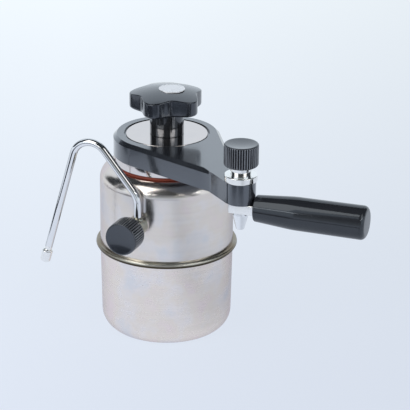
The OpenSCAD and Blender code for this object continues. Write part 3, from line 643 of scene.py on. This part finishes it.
def fluted_knob(low, high):
    dish, dish_radius = 0.95, 12.4

    def dish_ring(share):
        return flute_ring(dish_radius * share, high - dish * (1 - share * share), 0)

    knob = lofted(flutes * flute_points, [
        flute_ring(knob_radius - 5.5, low, 0), flute_ring(knob_radius - 1.7, low, 0),
        flute_ring(knob_radius - 0.9, low + 0.25, 0), flute_ring(knob_radius - 0.45, low + 0.7, 0.1),
        flute_ring(knob_radius, low + 1.5, flute_deep), flute_ring(knob_radius, high - 1.3, flute_deep),
        flute_ring(knob_radius - 0.1, high - 0.9, 0.7), flute_ring(knob_radius - 0.4, high - 0.35, 0.3),
        flute_ring(knob_radius - 0.8, high - 0.08, 0.05), flute_ring(knob_radius - 1.1, high, 0),
        dish_ring(1), dish_ring(0.9), dish_ring(0.75), dish_ring(0.55), dish_ring(0.3), dish_ring(0.12)])
    # marks the ridges of the flutes for the painted sheen
    worn = knob.verts.layers.float.new("worn")
    for corner in knob.verts:
        reach = corner.co.xy.length / mm
        corner[worn] = min(1, max(0, (reach - knob_radius + ridge_sheen_deep) / ridge_sheen_fade))
    return knob


def moulding(colour, rough, index, coat, coat_rough):
    """Black moulded plastic: fine mould grain, wiped patches, and a painted grey sheen where the mesh marks
    it.
    """
    def paint(wire):
        place = wire.node("ShaderNodeTexCoord", {}, {}, "Object")
        grain = wire.node("ShaderNodeTexNoise", {}, {"Vector": place, "Scale": 1600.0, "Detail": 2.0})
        wiped = wire.node(
            "ShaderNodeTexNoise", {}, {"Vector": place, "Scale": 55.0, "Detail": 4.0, "Roughness": 0.6})
        dusty = (colour[0] * 1.9 + 0.004, colour[1] * 1.9 + 0.004, colour[2] * 1.9 + 0.005, 1)
        shade = wire.node("ShaderNodeMix", {"data_type": "RGBA"}, {0: wiped * 0.6, 6: colour, 7: dusty}, 2)
        # painted sheen on the ridges that the mesh marks
        worn = wire.node("ShaderNodeAttribute", {"attribute_name": "worn"}, {}, "Fac")
        painted_sheen = wire.node("ShaderNodeMix", {"data_type": "RGBA"}, {0: worn, 6: shade, 7: ridge_sheen_grey}, 2)
        relief = wire.node("ShaderNodeBump", {}, {"Strength": 0.12, "Distance": 0.03 * mm, "Height": grain})
        return wire.node(
            "ShaderNodeBsdfPrincipled", {},
            {"Base Color": painted_sheen, "Roughness": rough + (wiped - 0.5) * 0.14 + (grain - 0.5) * 0.05,
             "Normal": relief, "IOR": index, "Specular Tint": (0.78, 0.87, 1.0, 1),
             "Coat Weight": coat, "Coat Roughness": coat_rough})
    return paint


knob_black = material("knob_black", moulding((0.009, 0.010, 0.013, 1), 0.16, 1.68, 0.6, 0.05))
steam_knob_low, steam_knob_high = 74.8, 92.8
steam_knob = fluted_knob(steam_knob_low, steam_knob_high)
bmesh.ops.transform(steam_knob, matrix=on_wall(steam_angle), verts=steam_knob.verts)
add_piece(steam_knob, "steam_handwheel", "steam_knob", ["steam_knob"], knob_black)


# Steam wand: 6 mm stainless tube, bent twice on a mandrel and mirror polished, brazed into its socket.
# It rises beside the boiler and comes down again on the left.
def polished(colour, edge, rough, lines_strength):
    """Mirror-polished steel with faint wiping marks; edge is its colour where it is seen edge on."""
    def paint(wire):
        place = wire.node("ShaderNodeTexCoord", {}, {}, "Object")
        wiped = wire.node(
            "ShaderNodeTexNoise", {}, {"Vector": place, "Scale": 70.0, "Detail": 4.0, "Roughness": 0.6})
        fine = wire.node("ShaderNodeTexNoise", {}, {"Vector": place, "Scale": 900.0, "Detail": 2.0})
        shade = wire.node(
            "ShaderNodeMix", {"data_type": "RGBA"},
            {0: wiped, 6: colour, 7: (colour[0] * 0.92, colour[1] * 0.93, colour[2] * 0.95, 1)}, 2)
        return wire.node(
            "ShaderNodeBsdfPrincipled", {},
            {"Base Color": shade, "Metallic": 1.0, "Specular Tint": edge,
             "Roughness": rough + (wiped - 0.4) * lines_strength + (fine - 0.5) * 0.03})
    return paint


mirror_steel = material("mirror_steel", polished((0.90, 0.90, 0.90, 1), (0.25, 0.27, 0.30, 1), 0.06, 0.06))
tube_radius = 3.0
wand_frame = (
    Matrix.Rotation(math.radians(steam_angle - 90), 4, "Z")
    @ Matrix.Translation(Vector((0, socket_out, valve_height)) * mm))
wand_corners = [
    Vector((socket_side, 0, 5.5)), Vector((socket_side, 0, 25.5)), Vector((47.6, 0, 84.8)),
    Vector((84, 0, -44.6))]
wand_bends = [0, 20, 16, 0]


def bent_tube(corners, bends, radius, around=32):
    """A round tube along straight runs in the XZ plane, with a bend of the given radius at each corner."""
    bm = bmesh.new()
    bmesh.ops.create_circle(bm, cap_ends=True, radius=radius * mm, segments=around)
    start = (corners[1] - corners[0]).normalized()
    bmesh.ops.transform(
        bm, verts=bm.verts,
        matrix=Matrix.Translation(corners[0] * mm) @ start.to_track_quat("Z", "Y").to_matrix().to_4x4())
    edges = bm.edges[:]
    here = corners[0]

    def run_to(point):
        grown = bmesh.ops.extrude_edge_only(bm, edges=edges)["geom"]
        loop = [part for part in grown if isinstance(part, bmesh.types.BMVert)]
        bmesh.ops.translate(bm, verts=loop, vec=(point - here) * mm)
        return [part for part in grown
                if isinstance(part, bmesh.types.BMEdge) and set(loop).issuperset(part.verts)]

    for before, corner, after, bend in zip(corners, corners[1:], corners[2:], bends[1:]):
        come, go = (corner - before).normalized(), (after - corner).normalized()
        angle = come.angle(go)
        cut = bend * math.tan(angle / 2)
        edges = run_to(corner - come * cut)
        axis = come.cross(go).normalized()
        here = corner - come * cut
        swept = bmesh.ops.spin(
            bm, geom=edges, cent=(here + axis.cross(come) * bend) * mm, axis=axis, angle=angle,
            steps=max(6, round(math.degrees(angle) / 5)))["geom_last"]
        edges = [part for part in swept if isinstance(part, bmesh.types.BMEdge)]
        here = corner + go * cut
    edges = run_to(corners[-1])
    bmesh.ops.edgeloop_fill(bm, edges=edges)
    return bm


tip_radius, tip_long, tip_hold = 4.5, 11.6, 5.0
tip_way = (wand_corners[3] - wand_corners[2]).normalized()
wand_end = wand_corners[3] - tip_way * (tip_long - tip_hold)
wand = bent_tube(wand_corners[:3] + [wand_end], wand_bends, tube_radius)
bmesh.ops.transform(wand, matrix=wand_frame, verts=wand.verts)
add_piece(wand, "wand_tube", "boiler", ["steam_wand"], mirror_steel)


# Nozzle on the end of the wand: a short turned sleeve with a groove at its top and one jet hole.
# Screwed on the tube and plated.
bright_plating = material("bright_plating", plated((0.93, 0.93, 0.93, 1), (0.88, 0.87, 0.83, 1), 0.13))
tip_lip, lip_radius, lip_start = 0.6, tube_radius + 0.1, -3.0
jet_radius, jet_deep = 0.9, 3.0
nozzle = turned((
    (0, lip_start, 0), (lip_radius, lip_start, 0), (lip_radius, -0.2, 0), (tip_radius - tip_lip, -0.2, 0.4),
    (tip_radius - tip_lip, 0.8, 0), (tip_radius, 1.0, 0.3), (tip_radius, tip_long - 0.9, 1.2),
    (tip_radius - 2.0, tip_long, 0.6), (jet_radius, tip_long, 0.2), (jet_radius, tip_long - jet_deep, 0),
    (0, tip_long - jet_deep, 0)), 64)
bmesh.ops.transform(
    nozzle, verts=nozzle.verts,
    matrix=wand_frame @ Matrix.Translation((wand_corners[-1] - tip_way * tip_long) * mm)
    @ tip_way.to_track_quat("Z", "Y").to_matrix().to_4x4())
add_piece(nozzle, "wand_nozzle", "boiler", ["wand_tip"], bright_plating)


# Safety valve at the rear: a hexagon body on a saddle washer, with a screwed cap and a sprung poppet.
# Turned brass, plated outside; the spring and the poppet stay plain.
safety_angle = 104.0
safety_washer_radius = 10.5
safety_across, safety_hexagon_end = 18.0, 62.2
safety_radius, safety_end, safety_bore, safety_bore_end = 6.0, 71.2, 3.0, 66.0

safety_washer = turned((
    (0, washer_seat, 0), (safety_washer_radius, washer_seat, 0), (safety_washer_radius, washer_face, 0.4),
    (0, washer_face, 0)), 64)
bmesh.ops.transform(safety_washer, matrix=on_wall(safety_angle), verts=safety_washer.verts)
add_piece(safety_washer, "safety_washer", "boiler", ["safety_pad"], bright_steel)

safety_hexagon = hexagon(safety_across, washer_face, safety_hexagon_end, 0.5)
safety_barrel = turned((
    (0, 60, 0), (safety_radius, 60, 0), (safety_radius, safety_end, 0.4), (safety_bore, safety_end, 0.2),
    (safety_bore, safety_bore_end, 0), (0, safety_bore_end, 0)), 64)
safety_body = joined(safety_hexagon, safety_barrel)
bmesh.ops.transform(safety_body, matrix=on_wall(safety_angle), verts=safety_body.verts)
add_piece(safety_body, "safety_valve", "boiler", ["safety_valve_body"], brass)

dress(brass, "safety_cap", "safety_poppet")
dress(plain_steel, "safety_spring")


# Coffee basket: a pressed cup with a long water tube, and a perforated plate on its floor.
# It hangs by its rim in the mouth of the boiler, out of sight under the lid.
dress(plain_steel, "coffee_funnel", "lower_filter")


# Gasket of the lid: a red silicone ring, squeezed between the mouth and the lid.
# Moulded, matt, with a rounded outer edge and a dusting of pale powder.
def silicone(wire):
    place = wire.node("ShaderNodeTexCoord", {}, {}, "Object")
    mottle = wire.node("ShaderNodeTexNoise", {}, {"Vector": place, "Scale": 140.0, "Detail": 4.0})
    powder = wire.node("ShaderNodeTexNoise", {}, {"Vector": place, "Scale": 900.0, "Detail": 3.0})
    shade = wire.node(
        "ShaderNodeMix", {"data_type": "RGBA"},
        {0: mottle, 6: (0.22, 0.036, 0.018, 1), 7: (0.28, 0.060, 0.034, 1)}, 2)
    relief = wire.node("ShaderNodeBump", {}, {"Strength": 0.2, "Distance": 0.05 * mm, "Height": powder})
    return wire.node(
        "ShaderNodeBsdfPrincipled", {},
        {"Base Color": shade, "Roughness": 0.5 + powder * 0.15, "Normal": relief, "Specular IOR Level": 0.3})


red_silicone = material("red_silicone", silicone)
gasket_low, gasket_high, gasket_in, gasket_out = 146.0, 148.2, 36.2, 44.0
add_piece(
    turned((
        (gasket_in, gasket_low, 0), (gasket_out, gasket_low, 1.05), (gasket_out, gasket_high, 1.05),
        (gasket_in, gasket_high, 0))),
    "gasket", "lid", ["lid_gasket"], red_silicone)


# Lid: pressed steel hat with an upright rim below the collar and a mirror-polished flat top.
# The black collar grips it, and the rod of the clamp passes through a bush in its middle.
plate_steel = material("plate_steel", polished((0.77, 0.715, 0.685, 1), (0.9, 0.9, 0.9, 1), 0.05, 0.06))
rim_radius, rim_low, rim_high = 43.0, 148.2, 155.3
hat, collar_low, plate = 34.0, 155.5, 172.8
lid_wall, bush = 1.2, 8.0
add_piece(
    turned((
        (bush, plate, 0.3), (bush, plate - lid_wall, 0), (hat - lid_wall, plate - lid_wall, 0),
        (hat - lid_wall, rim_high - lid_wall, 0), (rim_radius - lid_wall, rim_high - lid_wall, 0),
        (rim_radius - lid_wall, rim_low, 0), (rim_radius, rim_low, 0.3), (rim_radius, rim_high, 1.0),
        (hat, rim_high, 0), (hat, plate, 0.5))),
    "lid_hat", "lid", ["lid_cap"], plate_steel)
dress(plain_steel, "upper_filter", "lid_bush")


# Collar with the arm: one black moulding, a ring round the lid that draws out into a square-edged bar
# and ends in a round boss for the tap. The ring and its taper have a bevelled upper edge.
arm_angle = -42.3
collar_radius, collar_high, bevel_wide = 44.5, 173.0, 3.0
hole_low, hole_high, hole_step = 34.3, 35.6, 170.2
bar_half, boss_out, boss_radius = 12.3, 125.0, 12.0
groove_deep, groove_half, groove_lip = 1.3, 0.2, 0.7
boss_reach = math.radians(86.5)
back_steps, taper_steps, bar_steps, boss_steps = 48, 8, 6, 24
top_margin = 2.2
lean = math.radians(20.25)
bar_start = collar_radius * math.sin(lean) + (collar_radius * math.cos(lean) - bar_half) / math.tan(lean)
bar_start_high = bar_start - bevel_wide / math.sin(lean)


def collar_outline(inset, margin=0):
    """Half of the outline in the plan, from the middle of the back round to the middle of the boss."""
    points = []
    radius = collar_radius - inset - margin
    half_wide, groove = bar_half - margin, 0 if margin else groove_deep
    for step in range(back_steps + 1):
        turn = math.pi - (math.pi / 2 + lean) * step / back_steps
        points.append(Vector((radius * math.cos(turn), radius * math.sin(turn))))
    touch = points[-1]
    taper_half = half_wide if inset else bar_half + (bar_start - bar_start_high) * math.tan(lean)
    taper_end = Vector((bar_start_high, taper_half))
    for step in range(1, taper_steps + 1):
        points.append(touch.lerp(taper_end, step / taper_steps))
    points.append(Vector((bar_start, half_wide)))
    bar_end = boss_out - groove_lip
    for step in range(1, bar_steps + 1):
        points.append(Vector((bar_start + (bar_end - bar_start) * step / bar_steps, half_wide)))
    points.append(Vector((boss_out - groove_half, half_wide - groove)))
    points.append(Vector((boss_out + groove_half, half_wide - groove)))
    for step in range(boss_steps + 1):
        turn = boss_reach * (1 - step / boss_steps)
        points.append(
            Vector((boss_out, 0)) + (boss_radius - margin) * Vector((math.cos(turn), math.sin(turn))))
    return points


def collar_ring(inset, height, margin=0):
    half = collar_outline(inset, margin)
    whole = half + [Vector((point.x, -point.y)) for point in half[-2:0:-1]]

    def rule(number):
        return whole[number].x, whole[number].y, height
    return len(whole), rule


def hole_ring(radius, height):
    half = collar_outline(0, top_margin)
    whole = half + [Vector((point.x, -point.y)) for point in half[-2:0:-1]]

    def rule(number):
        spot = whole[number].normalized() * radius
        return spot.x, spot.y, height
    return rule


def sleeve(count, rings):
    """A ring-shaped body through rings of points, the last joined to the first."""
    bm = lofted(count, rings, False)
    ends = [face for face in bm.faces if len(face.verts) == count]
    bmesh.ops.delete(bm, geom=ends, context="FACES_ONLY")
    rims = [edge for edge in bm.edges if edge.is_boundary]
    bmesh.ops.bridge_loops(bm, edges=rims)
    return bm


def soften(bm, width, segments, turn):
    """Rounds every edge that turns by more than the given angle."""
    bmesh.ops.recalc_face_normals(bm, faces=bm.faces)
    sharp = [
        edge for edge in bm.edges
        if len(edge.link_faces) == 2 and edge.calc_face_angle() > math.radians(turn)]
    bmesh.ops.bevel(
        bm, geom=sharp, offset=width * mm, offset_type="OFFSET", segments=segments, profile=0.5,
        affect="EDGES", clamp_overlap=True, material=-1)


arm_black = material("arm_black", moulding((0.014, 0.015, 0.018, 1), 0.19, 2.0, 0.9, 0.08))
around, low_ring = collar_ring(0, collar_low)
_, bevel_ring = collar_ring(0, collar_high - bevel_wide)
_, top_ring = collar_ring(bevel_wide, collar_high)
_, margin_ring = collar_ring(bevel_wide, collar_high, top_margin)
collar = sleeve(around, [
    low_ring, bevel_ring, top_ring, margin_ring, hole_ring(hole_high, collar_high),
    hole_ring(hole_high, hole_step), hole_ring(hole_low, hole_step), hole_ring(hole_low, collar_low)])
soften(collar, 0.35, 2, 25)
to_arm = Matrix.Rotation(math.radians(arm_angle), 3, "Z")
bmesh.ops.rotate(collar, verts=collar.verts, cent=(0, 0, 0), matrix=to_arm)
add_piece(collar, "collar_and_arm", "lid", ["collar_arm"], arm_black)
dress(arm_black, "collar_clip")


# Coffee way in the arm: a steel duct from the lid to the tap, out of sight in the moulding.
# Plain drawn tube.
dress(plain_steel, "coffee_duct")


# Tap: a plated block under the boss, which carries the handle, with a post up through the boss.
# Turned and milled brass, plated bright.
tap_x, tap_y = 92.454, -84.127
block_low, block_back, block_front, block_half = 147.3, 7.8, 12.8, 8.0
post_radius, post_low, post_high = 7.4, 153.5, 172.0
to_tap = Matrix.Translation((tap_x * mm, tap_y * mm, 0))

block = bmesh.new()
bmesh.ops.create_cube(block, size=1)
block_size = Vector((block_back + block_front, 2 * block_half, collar_low - block_low))
block_middle = Vector(((block_front - block_back) / 2, 0, (collar_low + block_low) / 2))
bmesh.ops.scale(block, verts=block.verts, vec=block_size * mm)
bmesh.ops.translate(block, verts=block.verts, vec=block_middle * mm)
soften(block, 0.9, 4, 30)
post = turned((
    (0, post_low, 0), (post_radius, post_low, 0), (post_radius, post_high, 0.5), (0, post_high, 0)), 64)
tap_block = joined(block, post)
bmesh.ops.transform(tap_block, matrix=to_tap, verts=tap_block.verts)
add_piece(tap_block, "tap_block", "lid", ["coffee_valve_body"], bright_plating)


# Gland nut of the tap: a broad flange that clamps the boss, and a neck under the knob.
# Turned from bar and plated bright; its flange and its neck draw in a little towards the boss.
gland_low, flange_top, gland_top = 173.0, 178.4, 185.0
flange_foot, flange_radius, gland_waist, gland_radius = 12.5, 13.2, 7.9, 8.9
gland = turned((
    (0, gland_low, 0), (flange_foot, gland_low, 0.3), (12.9, gland_low + 0.7, 0.2),
    (flange_radius, flange_top, 0.7), (gland_waist, flange_top, 0.5), (gland_radius, gland_top, 0.5),
    (0, gland_top, 0)), 128)
bmesh.ops.transform(gland, matrix=to_tap, verts=gland.verts)
add_piece(gland, "tap_gland", "lid", ["coffee_gland_nut"], bright_plating)

dress(pale_packing, "coffee_packing")
dress(brass, "coffee_stem")


# Knob of the tap: the same moulding as on the steam valve, standing upright.
# Press fitted on the spindle.
coffee_knob_low, coffee_knob_high = 185.6, 203.6
coffee_knob = fluted_knob(coffee_knob_low, coffee_knob_high)
bmesh.ops.transform(coffee_knob, matrix=to_tap, verts=coffee_knob.verts)
add_piece(coffee_knob, "tap_handwheel", "coffee_knob", ["coffee_knob"], knob_black)


# Spout under the tap: a tapered nozzle, satin plated, with a narrow bore.
# Turned in one piece and screwed into the block.
satin_plating = material("satin_plating", plated((0.93, 0.94, 0.95, 1), (0.88, 0.89, 0.90, 1), 0.24))
spout_top, spout_step, spout_low, bore_end = 147.3, 144.3, 132.3, 138.3
spout_radius, spout_tip, spout_bore = 6.4, 3.2, 1.8
spout = turned((
    (0, spout_top, 0), (spout_radius, spout_top, 0.2), (spout_radius, spout_step, 0.8),
    (spout_tip, spout_low, 0.5), (spout_bore, spout_low, 0.2), (spout_bore, bore_end, 0),
    (0, bore_end, 0)), 96)
bmesh.ops.transform(spout, matrix=to_tap, verts=spout.verts)
add_piece(spout, "tap_spout", "lid", ["coffee_spout"], satin_plating)


# Handle: a black moulded grip, thicker towards its rounded end, on a steel stud in the block of the tap.
# Polished moulding, screwed on; the stud is out of sight.
def polished_moulding(wire):
    place = wire.node("ShaderNodeTexCoord", {}, {}, "Object")
    wiped = wire.node(
        "ShaderNodeTexNoise", {}, {"Vector": place, "Scale": 60.0, "Detail": 5.0, "Roughness": 0.6})
    haze = wire.node("ShaderNodeTexNoise", {}, {"Vector": place, "Scale": 400.0, "Detail": 3.0})
    shade = wire.node(
        "ShaderNodeMix", {"data_type": "RGBA"},
        {0: wiped * 0.7, 6: (0.017, 0.018, 0.021, 1), 7: (0.026, 0.027, 0.032, 1)}, 2)
    return wire.node(
        "ShaderNodeBsdfPrincipled", {},
        {"Base Color": shade, "Specular Tint": (0.82, 0.91, 1.0, 1), "IOR": 1.55,
         "Roughness": 0.05 + wiped * 0.08 + (haze - 0.5) * 0.03})


grip_black = material("grip_black", polished_moulding)
grip_start, grip_swell, grip_end, grip_height = 105.25, 136.25, 195.25, 151.4
grip_root, grip_middle, grip_radius, grip_round = 10.6, 13.2, 13.5, 4.0
grip = turned((
    (0, grip_start, 0), (grip_root, grip_start, 0.8), (grip_middle, grip_swell, grip_round),
    (grip_radius, grip_end, grip_round), (0, grip_end, 0)), 128)
bmesh.ops.transform(
    grip, verts=grip.verts,
    matrix=Matrix.Translation((0, tap_y * mm, grip_height * mm)) @ Matrix.Rotation(math.pi / 2, 4, "Y"))
add_piece(grip, "handle", "lid", ["handle_grip"], grip_black)
dress(plain_steel, "handle_rod")


# Clamp knob: a black five-lobed star on a round neck that presses on the lid through a washer.
# One moulding round a threaded brass insert, with a domed top and crisp edges.
star_low, star_high = 194.2, 211.4
star_middle, star_wave, star_turn = 27.9, 3.4, math.radians(48)
dome = 100.47
star_points = 240


def star_radius(number):
    turn = 2 * math.pi * number / star_points
    return star_middle + star_wave * math.cos(5 * turn)


def star_top(radius):
    return star_high - (dome - math.sqrt(dome * dome - radius * radius))


def star_ring(share, inset, drop, level=None):
    """A ring of the star at a share of its outline: on the dome, dropped below it, or at a level."""
    def rule(number):
        turn = 2 * math.pi * number / star_points + star_turn
        radius = star_radius(number) * share - inset
        height = star_top(radius) - drop if level is None else level
        return radius * math.cos(turn), radius * math.sin(turn), height
    return rule


star = lofted(star_points, [
    star_ring(0.45, 0, 0, star_low), star_ring(1, 2.0, 0, star_low), star_ring(1, 0.9, 0, star_low + 0.2),
    star_ring(1, 0.25, 0, star_low + 0.8), star_ring(1, 0, 0, star_low + 1.8), star_ring(1, 0, 0.7),
    star_ring(1, 0.08, 0.32), star_ring(1, 0.28, 0.1), star_ring(1, 0.6, 0), star_ring(1, 1.2, 0),
    star_ring(0.85, 0, 0), star_ring(0.7, 0, 0), star_ring(0.5, 0, 0), star_ring(0.3, 0, 0),
    star_ring(0.1, 0, 0)])
add_piece(star, "star_handwheel", "star_knob", ["star_knob"], knob_black)

neck_black = material("neck_black", moulding((0.012, 0.012, 0.013, 1), 0.14, 1.6, 0.8, 0.04))
neck_radius, neck_low, neck_high = 14.2, 173.0, star_low + 0.4
add_piece(
    turned((
        (0, neck_low, 0), (neck_radius, neck_low, 0.3), (neck_radius, neck_high, 0), (0, neck_high, 0)), 128),
    "star_neck", "star_knob", ["knob_neck"], neck_black)
dress(plain_steel, "thrust_washer")
dress(brass, "knob_nut")


# Disc in the top of the clamp knob: a bare pale plate, satin, with a fine turned edge.
# Pressed into the moulding; nothing is printed on it.
def spun_disc(wire):
    place = wire.node("ShaderNodeTexCoord", {}, {}, "Object")
    middle = wire.node(
        "ShaderNodeVectorMath", {"operation": "SUBTRACT"}, {0: place, 1: disc_middle}, "Vector")
    reach = wire.node("ShaderNodeVectorMath", {"operation": "LENGTH"}, {0: middle}, "Value")
    rings = wire.node(
        "ShaderNodeTexNoise", {"noise_dimensions": "1D"}, {"W": reach * 2600.0, "Scale": 1.0, "Detail": 2.0})
    dull = wire.node("ShaderNodeTexNoise", {}, {"Vector": place, "Scale": 220.0, "Detail": 3.0})
    shade = wire.node(
        "ShaderNodeMix", {"data_type": "RGBA"},
        {0: dull, 6: (0.97, 0.96, 0.97, 1), 7: (0.90, 0.89, 0.90, 1)}, 2)
    return wire.node(
        "ShaderNodeBsdfPrincipled", {},
        {"Base Color": shade, "Metallic": 0.6, "Roughness": 0.34 + (rings - 0.5) * 0.2})


disc_low, disc_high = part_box("knob_disc")
disc_middle = ((disc_low.x + disc_high.x) / 2, (disc_low.y + disc_high.y) / 2, disc_high.z)
disc_radius, disc_foot, disc_top = 10.85, disc_low.z / mm, disc_high.z / mm
disc_field, disc_edge = disc_top - 0.12, 0.7
disc = turned((
    (0, disc_foot, 0), (disc_radius, disc_foot, 0), (disc_radius, disc_top, 0.2),
    (disc_radius - disc_edge, disc_top, 0.1), (disc_radius - disc_edge - 0.2, disc_field, 0.1),
    (0, disc_field, 0)), 128)
bmesh.ops.translate(disc, verts=disc.verts, vec=(disc_middle[0], disc_middle[1], 0))
add_piece(disc, "bare_disc", "star_knob", ["knob_disc"], material("pale_disc", spun_disc))
